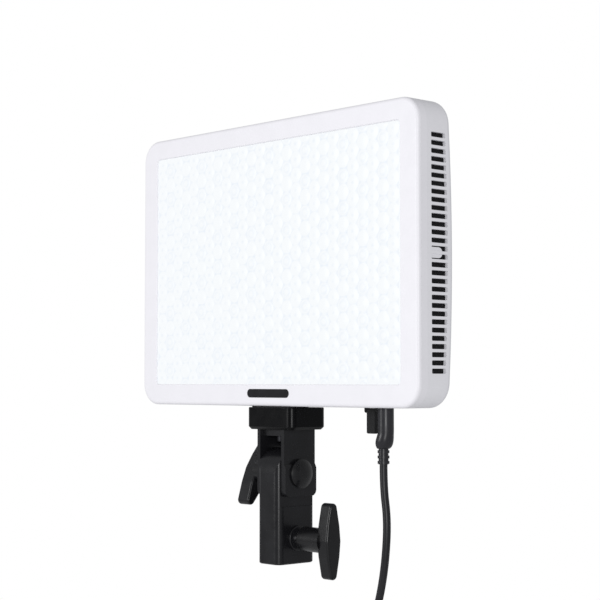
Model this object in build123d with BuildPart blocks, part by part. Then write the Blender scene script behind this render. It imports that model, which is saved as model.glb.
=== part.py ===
"""LED panel light on a tilting bracket with a 16 mm stand socket.

Millimetres, +Z up, the light shines towards -Y. The origin is the centre of the stand socket's mouth.
"""
from build123d import *
import math
import os

os.makedirs("parts", exist_ok=True)

# ---------------------------------------------------------------- driving dimensions
PANEL_W = 264.0          # panel width along X
PANEL_H = 184.0          # panel height along Z
PANEL_Z = 100.5          # underside of the panel above the socket mouth
PANEL_MID = PANEL_Z + PANEL_H / 2
FRONT_Y = -16.0          # front face of the bezel
CORNER_R = 14.5          # corner radius seen from the front
WALL = 2.0               # plastic wall of bezel and rear cover

BEZEL_DEPTH = 7.5        # bezel from its front face to the parting line
BEZEL_EDGE_R = 2.4       # rounding round the bezel's front edge
LIP = 2.0                # thickness of the bezel's front lip
WINDOW_W = 234.0
WINDOW_H = 156.5
WINDOW_Z = PANEL_Z + 14.0 + WINDOW_H / 2
WINDOW_R = 2.5

CROWN_DEPTH = 31.6       # deepest point of the rear cover behind the front face
CROWN_Z = PANEL_Z + 94.0
CROWN_RADIUS = 1150.0
REAR_EDGE_R = 4.0

SLOT_COUNT = 30
SLOT_PITCH = 4.81
SLOT_H = 3.0
SLOT_FRONT = 11.3        # front end of every vent slot behind the front face
SLOT_REAR_GAP = 6.1      # from a slot's rear end to the crowned back
SLOT_MID = PANEL_Z + 91.6
TAB_H = 6.4              # rounded tab over the two middle slots
TAB_LEN = 10.0
TAB_RECESS = 0.6

LENS_DX = 8.55           # column pitch of the lens and emitter lattice
LENS_DZ = 9.87           # pitch within a column
LENS_COLUMNS = 27
LENS_ROWS = 16           # in the columns that sit half a step lower
EMITTER = 3.0
EMITTER_T = 0.8

LENS_FRONT = 0.5         # depths behind the front face
LENS_BACK = 4.4
BOARD_FRONT = 8.0
SINK_FRONT = 9.6
SINK_BACK = 11.1
FIN_BACK = 17.0
FAN_FRONT = 12.4
FAN_BACK = 22.4
FAN_SIZE = 50.0
DRIVER_FRONT = 18.4
CONTROL_FRONT = 25.2
BOARD_T = 1.6
POD_BACK = 35.1
DIAL_FRONT = 35.7
DIAL_BACK = 46.1
POD_W = 104.0
POD_H = 44.0
POD_Z = PANEL_Z + 44.0
DIAL_X = 38.0
DIAL_Z = POD_Z + 5.0
DIAL_R = 8.5
SHAFT_R = 3.0
DISPLAY_W = 38.0
DISPLAY_H = 22.0
DISPLAY_Z = POD_Z + 5.0
BUTTON_Z = POD_Z - 14.0
BUTTON_R = 3.6
BUTTON_PROUD = 1.5
BUTTON_TRAVEL = 0.8

PIVOT_Z = 57.5           # tilt axis, along X
SOCKET_R = 8.1
SOCKET_DEPTH = 38.0
COLUMN_HALF_W = 10.5
COLUMN_HALF_D = 16.1
COLUMN_R = 4.6
COLUMN_BEVEL = 0.7
TONGUE_CUT = 10.0
BOSS_EDGE_R = 0.8
TONGUE_HALF_W = 9.8
FLAT_BELOW_PIVOT = 21.0
CHEEK_IN = 10.1
CHEEK_T = 2.7
CHEEK_OUT = CHEEK_IN + CHEEK_T
CHEEK_HALF_D = 13.4
CHEEK_BELOW_PIVOT = 14.5
PAD_T = 1.4
PAD_ABOVE_PIVOT = 6.0
BLOCK_TOP = PANEL_Z - 0.8
BLOCK_BOTTOM = PANEL_Z - 15.0
BLOCK_HALF_W = 22.0
BLOCK_HALF_D = 15.5
BLOCK_R = 4.8
BLOCK_BEVEL = 1.8
BLOCK_TOP_R = 0.6
SCREW_CLEAR_R = 3.4      # the mount screw's clearance holes
SCREW_HEAD_R = 4.8
SCREW_HEAD_T = 4.0
SCREW_SHANK_R = 3.15
WEB_T = 4.0
BOLT_R = 3.9
BOLT_HOLE_R = 4.0
RUNNING_FIT = 0.05       # radial gap of a shaft that turns
PRESS_FIT = 0.02         # radial gap of parts pushed together
MOUNT_SCREW_Y = -2.0

CLAMP_Z = 16.4
CLAMP_BOSS_R = 8.0
CLAMP_BOSS_OUT = 12.6
HUB_R = 7.8
WING_HALF = 23.8         # half the length of a T-handle
WING_TIP_T = 3.0         # half thickness at the tips
WING_SHOULDER = 9.0      # the wing stays nearly as thick as the hub this far out
WING_SHOULDER_T = 5.3
WING_MID_T = 6.2         # half thickness at the hub
WING_EDGE_R = 1.6
HUB_EDGE_R = 1.2
HUB_OVERLAP = 2.0        # the hub runs this far into the wing
CLAMP_HUB = 17.0
CLAMP_WING = 35.0
CLAMP_END = 44.8
LOCK_HUB = 14.3
LOCK_WING = 22.5
LOCK_END = 34.0
LOCK_ANGLE = 27.5        # the lock handle's lower end points this far forward

JACK_X = 92.6
JACK_Y = -3.0
USB_X = 77.8
USB_Y = -6.0
COVER_X = 77.8
COVER_W = 6.8
COVER_T = 3.0
COVER_LEN = 14.1         # from the hinge axis to the free end
COVER_AXIS_Y = 0.5
COVER_AXIS_Z = PANEL_Z - 1.9

CORD_D = 4.8
COIL_X = 92.0
COIL_Y = 4.0
COIL_Z = -75.0
COIL_MEAN_R = 26.2
COIL_LAYERS = 4
COIL_SPREAD = 4.85       # the turns' radius runs this far either side of the mean
COIL_ENTRY = 150.0       # angle round the coil where the lead joins it
COIL_OUTER_R = COIL_MEAN_R + COIL_SPREAD + CORD_D / 2 + 0.05
COIL_INNER_R = COIL_MEAN_R - COIL_SPREAD - CORD_D / 2 - 0.05
COIL_HALF_Y = COIL_LAYERS * CORD_D / 2 + 0.05
TIE_WIDTH = 9.0
TIE_T = 1.2
SOCKET_LEN = 34.0        # the far-end connector


# ---------------------------------------------------------------- helpers
def at_depth(depth, z=PANEL_MID):
    """Plane parallel to the panel at a depth behind its front face; its x is X and its y is Z."""
    return Plane(origin=(0, FRONT_Y + depth, z), x_dir=(1, 0, 0), z_dir=(0, -1, 0))


def side_plane(x):
    """Plane across X at x; its own x is Y and its own y is Z."""
    return Plane.YZ.offset(x)


def crown_y(z, inset=0.0):
    """Y of the crowned back at a height, drawn in by inset."""
    drop = CROWN_RADIUS - math.sqrt(CROWN_RADIUS**2 - (z - CROWN_Z) ** 2)
    return FRONT_Y + CROWN_DEPTH - inset - drop


def save(block, name):
    """Label a finished piece and write it as its own file."""
    block.part.label = name
    export_step(block.part, f"parts/{name}.step")


def rear_form(inset, front):
    """The rear cover's form drawn in by inset on every side, from a front depth to the crowned back."""
    low = PANEL_Z + inset
    high = PANEL_Z + PANEL_H - inset
    with BuildPart() as form:
        with BuildSketch(at_depth(front)):
            RectangleRounded(PANEL_W - 2 * inset, PANEL_H - 2 * inset, CORNER_R - inset)
        extrude(amount=-(CROWN_DEPTH + 10))
        with BuildSketch(Plane.YZ):
            with BuildLine():
                ThreePointArc(
                    (crown_y(low, inset), low),
                    (crown_y(CROWN_Z, inset), CROWN_Z),
                    (crown_y(high, inset), high),
                )
                Polyline(
                    (crown_y(high, inset), high),
                    (FRONT_Y + front, high),
                    (FRONT_Y + front, low),
                    (crown_y(low, inset), low),
                )
            make_face()
        extrude(amount=PANEL_W, both=True, mode=Mode.INTERSECT)
        fillet(form.faces().sort_by(Axis.Y)[-1].edges(), REAR_EDGE_R - inset)
    return form.part


def screws(name, spots, head_r, head_t, shank_r, shank_len):
    """A group of pan-head screws: each spot is the plane its head rests on, normal out of the head."""
    with BuildPart() as group:
        for spot in spots:
            with BuildSketch(spot):
                Circle(head_r)
            extrude(amount=head_t)
            with BuildSketch(spot):
                Circle(shank_r)
            extrude(amount=-shank_len)
            with BuildSketch(spot.offset(head_t)):
                RegularPolygon(head_r * 0.5, 6)
            extrude(amount=-head_t * 0.6, mode=Mode.SUBTRACT)
    save(group, name)


def t_handle(base, wing_start, wing_end, bore_r, bore_depth):
    """T-handle on a base plane at the hub's inner end: the plane's normal is the axis, its x the long way."""
    along = Axis(base.origin, base.z_dir)
    with BuildPart() as handle:
        with BuildSketch(base.offset(wing_start)):
            Circle(WING_MID_T)
            with Locations((WING_SHOULDER, 0), (-WING_SHOULDER, 0)):
                Circle(WING_SHOULDER_T)
            with Locations((WING_HALF - WING_TIP_T, 0), (WING_TIP_T - WING_HALF, 0)):
                Circle(WING_TIP_T)
            make_hull()
        extrude(amount=wing_end - wing_start)
        fillet(handle.faces().filter_by(along).edges(), WING_EDGE_R)
        with BuildSketch(base):
            Circle(HUB_R)
        extrude(amount=wing_start + HUB_OVERLAP)
        fillet(handle.faces().sort_by(along)[0].edges(), HUB_EDGE_R)
        with BuildSketch(base):
            Circle(bore_r)
        extrude(amount=bore_depth, mode=Mode.SUBTRACT)
    return handle


# ---------------------------------------------------------------- front bezel
window_offset = WINDOW_Z - PANEL_MID
COVER_SCREWS = [
    (side * x, z)
    for side in (1, -1)
    for x in (108.0, 42.0)
    for z in (PANEL_Z + 6.6, PANEL_Z + 177.6)
]
SINK_SCREWS = [(side * 125.4, PANEL_Z + z) for side in (1, -1) for z in (45.0, 139.0)]
BOSS_R = 3.8
SINK_BOSS_R = 3.2
M3_CLEAR = 1.6
SCREW_HOLE_FRONT = 3.0   # depth where the blind screw holes end
RIM_BEVEL = 0.5
BADGE_W = 40.0
BADGE_H = 5.4
BADGE_Z = PANEL_Z + 8.2
BADGE_RECESS = 0.6
BADGE_PROUD = 0.2
BADGE_GAP = 0.1
BADGE_EDGE_R = 0.25

with BuildPart() as front_bezel:
    with BuildSketch(at_depth(0)):
        RectangleRounded(PANEL_W, PANEL_H, CORNER_R)
    extrude(amount=-BEZEL_DEPTH)
    fillet(front_bezel.faces().sort_by(Axis.Y)[0].edges(), BEZEL_EDGE_R)
    with BuildSketch(at_depth(LIP)):
        RectangleRounded(PANEL_W - 2 * WALL, PANEL_H - 2 * WALL, CORNER_R - WALL)
    extrude(amount=-BEZEL_DEPTH, mode=Mode.SUBTRACT)
    with BuildSketch(at_depth(LIP)):
        with Locations(*[(x, z - PANEL_MID) for x, z in COVER_SCREWS]):
            Circle(BOSS_R)
    extrude(amount=-(BEZEL_DEPTH - LIP))
    with BuildSketch(at_depth(LIP)):
        with Locations(*[(x, z - PANEL_MID) for x, z in SINK_SCREWS]):
            Circle(SINK_BOSS_R)
    extrude(amount=-(SINK_FRONT - LIP))
    with BuildSketch(at_depth(SCREW_HOLE_FRONT)):
        with Locations(*[(x, z - PANEL_MID) for x, z in COVER_SCREWS + SINK_SCREWS]):
            Circle(M3_CLEAR)
    extrude(amount=-SINK_FRONT, mode=Mode.SUBTRACT)
    with BuildSketch(at_depth(0, WINDOW_Z)):
        RectangleRounded(WINDOW_W, WINDOW_H, WINDOW_R)
    extrude(amount=-LIP, mode=Mode.SUBTRACT)
    window_rim = front_bezel.faces().filter_by(Axis.Y).sort_by(Axis.Y)[0].inner_wires()[0]
    chamfer(window_rim.edges(), RIM_BEVEL)
    with BuildSketch(at_depth(0, BADGE_Z)):
        SlotOverall(BADGE_W + 2 * BADGE_GAP, BADGE_H + 2 * BADGE_GAP)
    extrude(amount=-BADGE_RECESS, mode=Mode.SUBTRACT)
save(front_bezel, "front_bezel")

with BuildPart() as badge_bar:
    with BuildSketch(at_depth(BADGE_RECESS, BADGE_Z)):
        SlotOverall(BADGE_W, BADGE_H)
    extrude(amount=BADGE_RECESS + BADGE_PROUD)
    fillet(badge_bar.faces().sort_by(Axis.Y)[0].edges(), BADGE_EDGE_R)
save(badge_bar, "badge_bar")

# ---------------------------------------------------------------- optics and light engine
LENS_W = 240.0
LENS_H = 162.5
LENS_CORNER_R = 2.0
LENS_GAP = 0.3
FRAME_WALL = 2.5
FRAME_INNER_R = 1.0
PCB_GAP = 0.2
PCB_R = 1.5
with BuildPart() as lens_panel:
    with BuildSketch(at_depth(LIP, WINDOW_Z)):
        RectangleRounded(LENS_W, LENS_H, LENS_CORNER_R)
    extrude(amount=-(LENS_BACK - LIP))
    with BuildSketch(at_depth(LENS_FRONT, WINDOW_Z)):
        RectangleRounded(WINDOW_W - 2 * LENS_GAP, WINDOW_H - 2 * LENS_GAP, WINDOW_R)
    extrude(amount=-(LIP - LENS_FRONT))
save(lens_panel, "lens_panel")

with BuildPart() as reflector_frame:
    with BuildSketch(at_depth(LENS_BACK, WINDOW_Z)):
        RectangleRounded(LENS_W, LENS_H, LENS_CORNER_R)
        RectangleRounded(LENS_W - 2 * FRAME_WALL, LENS_H - 2 * FRAME_WALL, FRAME_INNER_R, mode=Mode.SUBTRACT)
    extrude(amount=-(BOARD_FRONT - LENS_BACK))
save(reflector_frame, "reflector_frame")

BOARD_SCREWS = [
    (LENS_DX * column, WINDOW_Z + LENS_DZ * row)
    for column in (-11, 0, 11)
    for row in ((5.5, -5.5) if column else (5.0, -5.0))
]
M25_CLEAR = 1.35
with BuildPart() as led_board:
    with BuildSketch(at_depth(BOARD_FRONT, WINDOW_Z)):
        RectangleRounded(LENS_W - 2 * PCB_GAP, LENS_H - 2 * PCB_GAP, PCB_R)
        with Locations(*[(x, z - WINDOW_Z) for x, z in BOARD_SCREWS]):
            Circle(M25_CLEAR, mode=Mode.SUBTRACT)
    extrude(amount=-(SINK_FRONT - BOARD_FRONT))
save(led_board, "led_board")


def emitter_spots():
    """Centres of the emitters: a hexagonal lattice, odd columns half a step up from even ones."""
    spots = []
    half = LENS_COLUMNS // 2
    for column in range(-half, half + 1):
        shifted = column % 2 == 0
        rows = LENS_ROWS if shifted else LENS_ROWS - 1
        for row in range(rows):
            spots.append((LENS_DX * column, LENS_DZ * (row - (rows - 1) / 2)))
    return spots


with BuildPart() as led_emitters:
    with BuildSketch(at_depth(BOARD_FRONT, WINDOW_Z)):
        with Locations(*emitter_spots()):
            Rectangle(EMITTER, EMITTER)
    extrude(amount=EMITTER_T)
save(led_emitters, "led_emitters")
screws(
    "board_screws",
    [Plane(origin=(x, FRONT_Y + BOARD_FRONT, z), x_dir=(1, 0, 0), z_dir=(0, -1, 0)) for x, z in BOARD_SCREWS],
    head_r=2.0,
    head_t=1.1,
    shank_r=1.2,
    shank_len=2.9,
)

EAR_W = 6.6
EAR_H = 9.0
SINK_H = 160.0
FAN_Z = SLOT_MID
FAN_POST = 20.0
FAN_SPOTS = [(x, FAN_Z + z) for x in (-FAN_POST, FAN_POST) for z in (-FAN_POST, FAN_POST)]
DRIVER_X = -62.0
DRIVER_Z = PANEL_Z + 100.0
DRIVER_W = 70.0
DRIVER_H = 56.0
DRIVER_SPOTS = [
    (DRIVER_X + x, DRIVER_Z + z) for x in (-DRIVER_W / 2 + 4, DRIVER_W / 2 - 4) for z in (-24.0, 24.0)
]
FIN_COUNT = 15
FIN_PITCH = 9.6
FIN_T = 1.0
FIN_LEN = 82.0
FIN_X = 73.0             # middle of each block of fins
SINK_CORNER_R = 1.5
EAR_R = 1.0
EAR_REACH = 0.965        # the ears' inner halves sit at this share of their screws' distance out
FAN_POST_R = 3.0
DRIVER_POST_R = 2.6
POST_TAP_R = 1.2
PCB_TAP_R = 1.25
with BuildPart() as heat_sink:
    with BuildSketch(at_depth(SINK_FRONT, WINDOW_Z)):
        RectangleRounded(LENS_W, SINK_H, SINK_CORNER_R)
        with Locations(*[(x, z - WINDOW_Z) for x, z in SINK_SCREWS]):
            RectangleRounded(EAR_W, EAR_H, EAR_R)
        with Locations(*[(x * EAR_REACH, z - WINDOW_Z) for x, z in SINK_SCREWS]):
            Rectangle(EAR_W, EAR_H)
        with Locations(*[(x, z - WINDOW_Z) for x, z in SINK_SCREWS]):
            Circle(M3_CLEAR, mode=Mode.SUBTRACT)
        with Locations(*[(x, z - WINDOW_Z) for x, z in BOARD_SCREWS]):
            Circle(PCB_TAP_R, mode=Mode.SUBTRACT)
    extrude(amount=-(SINK_BACK - SINK_FRONT))
    with BuildSketch(at_depth(SINK_BACK, WINDOW_Z)):
        for side in (1, -1):
            with Locations((side * FIN_X, 0)):
                with GridLocations(0, FIN_PITCH, 1, FIN_COUNT):
                    Rectangle(FIN_LEN, FIN_T)
    extrude(amount=-(FIN_BACK - SINK_BACK))
    with BuildSketch(at_depth(SINK_BACK, WINDOW_Z)):
        with Locations(*[(x, z - WINDOW_Z) for x, z in FAN_SPOTS]):
            Circle(FAN_POST_R)
    extrude(amount=-(FAN_FRONT - SINK_BACK))
    with BuildSketch(at_depth(SINK_BACK, WINDOW_Z)):
        with Locations(*[(x, z - WINDOW_Z) for x, z in DRIVER_SPOTS]):
            Circle(DRIVER_POST_R)
    extrude(amount=-(DRIVER_FRONT - SINK_BACK))
    with BuildSketch(at_depth(SINK_FRONT, WINDOW_Z)):
        with Locations(*[(x, z - WINDOW_Z) for x, z in FAN_SPOTS + DRIVER_SPOTS]):
            Circle(POST_TAP_R)
    extrude(amount=-(DRIVER_FRONT - SINK_FRONT), mode=Mode.SUBTRACT)
save(heat_sink, "heat_sink")
screws(
    "heat_sink_screws",
    [Plane(origin=(x, FRONT_Y + SINK_BACK, z), x_dir=(1, 0, 0), z_dir=(0, 1, 0)) for x, z in SINK_SCREWS],
    head_r=2.6,
    head_t=1.6,
    shank_r=1.5,
    shank_len=6.5,
)

# ---------------------------------------------------------------- fan
FAN_BORE_R = 23.4
FAN_PIN_R = 1.5
FAN_HUB_R = 11.0
FAN_BLADES = 9
FAN_CORNER_R = 3.0
STRUT_W = 2.4
STRUT_T = 1.4
FAN_PIN_LEN = 6.5
ROTOR_GAP = 0.5          # between the struts and the hub
ROTOR_DEPTH = 7.4
ROTOR_EDGE_R = 1.2
BLADE_MID_R = 16.0
BLADE_LEN = 13.2
BLADE_T = 1.1
BLADE_FRONT = 2.3
BLADE_BACK = 8.6
BLADE_TWIST = 16.0
TIP_GAP = 0.7
ROTOR_BORE_DEPTH = 8.2
with BuildPart() as fan_frame:
    with BuildSketch(at_depth(FAN_FRONT, FAN_Z)):
        RectangleRounded(FAN_SIZE, FAN_SIZE, FAN_CORNER_R)
        Circle(FAN_BORE_R, mode=Mode.SUBTRACT)
        with Locations(*[(x, z - FAN_Z) for x, z in FAN_SPOTS]):
            Circle(M3_CLEAR, mode=Mode.SUBTRACT)
    extrude(amount=-(FAN_BACK - FAN_FRONT))
    with BuildSketch(at_depth(FAN_FRONT, FAN_Z)):
        Circle(FAN_HUB_R)
        with PolarLocations((FAN_HUB_R + FAN_BORE_R) / 2, 3, start_angle=30):
            Rectangle(FAN_BORE_R - FAN_HUB_R + 2, STRUT_W)
    extrude(amount=-STRUT_T)
    with BuildSketch(at_depth(FAN_FRONT + STRUT_T, FAN_Z)):
        Circle(FAN_PIN_R)
    extrude(amount=-FAN_PIN_LEN)
save(fan_frame, "fan_frame")

with BuildPart() as fan_rotor:
    with BuildSketch(at_depth(FAN_FRONT + STRUT_T + ROTOR_GAP, FAN_Z)):
        Circle(FAN_HUB_R)
    extrude(amount=-ROTOR_DEPTH)
    fillet(fan_rotor.faces().sort_by(Axis.Y)[-1].edges(), ROTOR_EDGE_R)
    for blade in range(FAN_BLADES):
        for depth, twist in ((BLADE_FRONT, 0.0), (BLADE_BACK, BLADE_TWIST)):
            with BuildSketch(at_depth(FAN_FRONT + depth, FAN_Z)):
                with PolarLocations(BLADE_MID_R, 1, start_angle=blade * 360 / FAN_BLADES + twist):
                    Rectangle(BLADE_LEN, BLADE_T)
        loft()
    with BuildSketch(at_depth(FAN_FRONT, FAN_Z)):
        Circle(FAN_BORE_R - TIP_GAP)
    extrude(amount=-FAN_SIZE, mode=Mode.INTERSECT)
    with BuildSketch(at_depth(FAN_FRONT, FAN_Z)):
        Circle(FAN_PIN_R + RUNNING_FIT)
    extrude(amount=-ROTOR_BORE_DEPTH, mode=Mode.SUBTRACT)
save(fan_rotor, "fan_rotor")
screws(
    "fan_screws",
    [Plane(origin=(x, FRONT_Y + FAN_BACK, z), x_dir=(1, 0, 0), z_dir=(0, 1, 0)) for x, z in FAN_SPOTS],
    head_r=2.4,
    head_t=1.2,
    shank_r=1.15,
    shank_len=11.0,
)

# ---------------------------------------------------------------- rear cover
COVER_SEAT = 14.0        # depth where the cover screws' heads rest
GRILLE_R = 22.0
INSERT_R = 4.8
INSERT_BORE = 3.2
INSERT_LEN = 9.0
INSERT_BOSS_R = 6.4
LUG_T = 1.6
LUG_GAP = 0.4
HINGE_PIN_R = 0.6
HINGE_FIT = 0.08
COVER_EDGE_R = 0.8
BARREL_R = 2.75
INSERT_BOSS_H = 9.3
SCREW_POCKET_R = 3.1
SLOT_R = 0.7
TAB_LEAD = 0.4           # the tab starts this far ahead of the slots
POD_LEDGE_X = 6.0        # width of the ledge left under the pod's walls
POD_LEDGE_Z = 5.0
POD_OPENING_R = 3.0
GRILLE_SLOTS = 9
GRILLE_SLOT_H = 2.7
JACK_GAP = 0.6
USB_W = 9.0
USB_H = 3.2
USB_GAP = 0.2
outer_form = rear_form(0, BEZEL_DEPTH)
with BuildPart() as pillars:
    with BuildSketch(at_depth(BEZEL_DEPTH)):
        with Locations(*[(x, z - PANEL_MID) for x, z in COVER_SCREWS]):
            Circle(BOSS_R)
    extrude(amount=-CROWN_DEPTH)
    add(outer_form, mode=Mode.INTERSECT)

with BuildPart() as rear_cover:
    add(outer_form)
    add(rear_form(WALL, BEZEL_DEPTH - 1.0), mode=Mode.SUBTRACT)
    add(pillars.part)
    with BuildSketch(Plane.XY.offset(PANEL_Z + WALL - 0.5)):
        with Locations((0, MOUNT_SCREW_Y)):
            Circle(INSERT_BOSS_R)
    extrude(amount=INSERT_BOSS_H)
    with BuildSketch(at_depth(BEZEL_DEPTH)):
        with Locations(*[(x, z - PANEL_MID) for x, z in COVER_SCREWS]):
            Circle(M3_CLEAR)
    extrude(amount=-CROWN_DEPTH, mode=Mode.SUBTRACT)
    with BuildSketch(at_depth(COVER_SEAT)):
        with Locations(*[(x, z - PANEL_MID) for x, z in COVER_SCREWS]):
            Circle(SCREW_POCKET_R)
    extrude(amount=-CROWN_DEPTH, mode=Mode.SUBTRACT)
    with BuildSketch(Plane.YZ):
        for index in range(SLOT_COUNT):
            slot_z = SLOT_MID + SLOT_PITCH * (index - (SLOT_COUNT - 1) / 2)
            slot_len = crown_y(slot_z) - SLOT_REAR_GAP - FRONT_Y - SLOT_FRONT
            with Locations((FRONT_Y + SLOT_FRONT + slot_len / 2, slot_z)):
                RectangleRounded(slot_len, SLOT_H, SLOT_R)
    extrude(amount=PANEL_W, both=True, mode=Mode.SUBTRACT)
    for side in (1, -1):
        with BuildSketch(side_plane(side * (PANEL_W / 2 - TAB_RECESS))):
            with Locations((FRONT_Y + SLOT_FRONT + (TAB_LEN - TAB_H / 2) / 2 - TAB_LEAD, SLOT_MID)):
                Rectangle(TAB_LEN - TAB_H / 2 + 2 * TAB_LEAD, TAB_H)
            with Locations((FRONT_Y + SLOT_FRONT + TAB_LEN - TAB_H / 2, SLOT_MID)):
                Circle(TAB_H / 2)
        extrude(amount=-side * (WALL - TAB_RECESS))
    with BuildSketch(at_depth(COVER_SEAT, POD_Z)):
        RectangleRounded(POD_W - 2 * POD_LEDGE_X, POD_H - 2 * POD_LEDGE_Z, POD_OPENING_R)
    extrude(amount=-CROWN_DEPTH, mode=Mode.SUBTRACT)
    with BuildSketch(at_depth(FAN_BACK, FAN_Z)):
        with GridLocations(0, SLOT_PITCH, 1, GRILLE_SLOTS):
            Rectangle(2 * GRILLE_R, GRILLE_SLOT_H)
        Circle(GRILLE_R, mode=Mode.INTERSECT)
    extrude(amount=-CROWN_DEPTH, mode=Mode.SUBTRACT)
    with BuildSketch(Plane.XY.offset(PANEL_Z - 1)):
        with Locations((JACK_X, JACK_Y)):
            Circle(BARREL_R + JACK_GAP)
        with Locations((USB_X, USB_Y)):
            SlotOverall(USB_W + 2 * USB_GAP, USB_H + 2 * USB_GAP)
    extrude(amount=WALL + 2, mode=Mode.SUBTRACT)
    with BuildSketch(Plane.XY.offset(PANEL_Z)):
        with Locations((0, MOUNT_SCREW_Y)):
            Circle(INSERT_R)
    extrude(amount=INSERT_LEN, mode=Mode.SUBTRACT)
save(rear_cover, "rear_cover")

screws(
    "cover_screws",
    [Plane(origin=(x, FRONT_Y + COVER_SEAT, z), x_dir=(1, 0, 0), z_dir=(0, 1, 0)) for x, z in COVER_SCREWS],
    head_r=2.8,
    head_t=1.8,
    shank_r=1.5,
    shank_len=10.4,
)

SCREEN_OUT = PANEL_W / 2 - WALL - 0.35
SCREEN_LEN = 14.9
SCREEN_MARGIN = 3.0
SCREEN_T = 0.5
with BuildPart() as vent_screens:
    for side in (1, -1):
        with BuildSketch(side_plane(side * SCREEN_OUT)):
            with Locations((FRONT_Y + SLOT_FRONT + SCREEN_LEN / 2 - 0.8, SLOT_MID)):
                Rectangle(SCREEN_LEN, SLOT_PITCH * SLOT_COUNT + SCREEN_MARGIN)
        extrude(amount=-side * SCREEN_T)
    add(rear_form(WALL + 0.3, BEZEL_DEPTH), mode=Mode.INTERSECT)
save(vent_screens, "vent_screens")

with BuildPart() as threaded_insert:
    with BuildSketch(Plane.XY.offset(PANEL_Z)):
        with Locations((0, MOUNT_SCREW_Y)):
            Circle(INSERT_R)
            Circle(INSERT_BORE, mode=Mode.SUBTRACT)
    extrude(amount=INSERT_LEN)
save(threaded_insert, "threaded_insert")

# ---------------------------------------------------------------- electronics
DRIVER_HOLE_R = 1.3
CHOKE = 12.0
CHOKE_R = 2.0
CHOKE_T = 3.2
CAN_R = 4.0
CAN_T = 3.8
CHIP_W = 9.0
CHIP_H = 7.0
CHIP_T = 1.2
with BuildPart() as driver_board:
    with BuildSketch(at_depth(DRIVER_FRONT, DRIVER_Z)):
        with Locations((DRIVER_X, 0)):
            RectangleRounded(DRIVER_W, DRIVER_H, 1.5)
        with Locations(*[(x, z - DRIVER_Z) for x, z in DRIVER_SPOTS]):
            Circle(DRIVER_HOLE_R, mode=Mode.SUBTRACT)
    extrude(amount=-BOARD_T)
save(driver_board, "driver_board")

with BuildPart() as driver_components:
    with BuildSketch(at_depth(DRIVER_FRONT + BOARD_T, DRIVER_Z)):
        with Locations((DRIVER_X - 20, 8), (DRIVER_X + 2, 8)):
            RectangleRounded(CHOKE, CHOKE, CHOKE_R)
    extrude(amount=-CHOKE_T)
    with BuildSketch(at_depth(DRIVER_FRONT + BOARD_T, DRIVER_Z)):
        with Locations((DRIVER_X + 20, 6), (DRIVER_X + 20, -6), (DRIVER_X - 20, -12)):
            Circle(CAN_R)
    extrude(amount=-CAN_T)
    with BuildSketch(at_depth(DRIVER_FRONT + BOARD_T, DRIVER_Z)):
        with Locations((DRIVER_X - 4, -12)):
            Rectangle(CHIP_W, CHIP_H)
    extrude(amount=-CHIP_T)
save(driver_components, "driver_components")
screws(
    "driver_screws",
    [
        Plane(origin=(x, FRONT_Y + DRIVER_FRONT + BOARD_T, z), x_dir=(1, 0, 0), z_dir=(0, 1, 0))
        for x, z in DRIVER_SPOTS
    ],
    head_r=2.3,
    head_t=1.2,
    shank_r=1.15,
    shank_len=7.0,
)

CONTROL_W = 90.0
CONTROL_H = 32.0
CONTROL_BACK = CONTROL_FRONT + BOARD_T
with BuildPart() as control_board:
    with BuildSketch(at_depth(CONTROL_FRONT, POD_Z)):
        RectangleRounded(CONTROL_W, CONTROL_H, 1.5)
    extrude(amount=-BOARD_T)
save(control_board, "control_board")

RIBBON_T = 0.5
RIBBON_W = 7.0
RIBBON_X = -43.0
ribbon_top = DRIVER_Z - DRIVER_H / 2
ribbon_low = POD_Z + CONTROL_H / 2
driver_back_y = FRONT_Y + DRIVER_FRONT + BOARD_T
control_back_y = FRONT_Y + CONTROL_BACK
with BuildPart() as board_ribbon:
    with BuildSketch(side_plane(RIBBON_X)):
        with BuildLine():
            Polyline(
                (driver_back_y, ribbon_top + 5.0),
                (driver_back_y, ribbon_top - 1.0),
                (control_back_y, ribbon_low + 1.0),
                (control_back_y, ribbon_low - 5.0),
                (control_back_y + RIBBON_T, ribbon_low - 5.0),
                (control_back_y + RIBBON_T, ribbon_low + 1.2),
                (driver_back_y + RIBBON_T, ribbon_top - 0.8),
                (driver_back_y + RIBBON_T, ribbon_top + 5.0),
                close=True,
            )
        make_face()
    extrude(amount=RIBBON_W)
save(board_ribbon, "board_ribbon")

SCREEN_BACK = 31.6
with BuildPart() as display_module:
    with BuildSketch(at_depth(CONTROL_BACK, DISPLAY_Z)):
        RectangleRounded(DISPLAY_W + 3.0, DISPLAY_H - 1.0, 1.0)
    extrude(amount=-(SCREEN_BACK - CONTROL_BACK))
save(display_module, "display_module")

# ---------------------------------------------------------------- control pod
POD_WALL = 2.0
POD_R = 6.0
POD_EDGE_R = 1.6
BUSHING_R = 3.45
BUTTONS = {
    "power_button": (DIAL_X, 2 * BUTTON_R),
    "menu_button": (11.0, 12.0),
    "mode_button": (-11.0, 12.0),
    "back_button": (-DIAL_X, 2 * BUTTON_R),
}
BUTTON_GAP = 0.3
FLANGE = 0.8
SWITCH_BACK = 29.0
STEM_FRONT = 30.2
STEM_R = 1.5
STEM_LEN = 2.0
ENCODER = 12.0
ENCODER_R = 0.8
ENCODER_DEPTH = 5.8
ENCODER_FLOOR = 0.8
SHAFT_END_GAP = 0.4
GRIP_COUNT = 30
GRIP_R = 0.5
GRIP_OUT = 0.15
DIAL_BEVEL = 0.45
DIAL_CROWN_T = 2.4
SWITCH_W = 4.4
SWITCH_H = 3.4
SWITCH_R = 0.4

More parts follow.
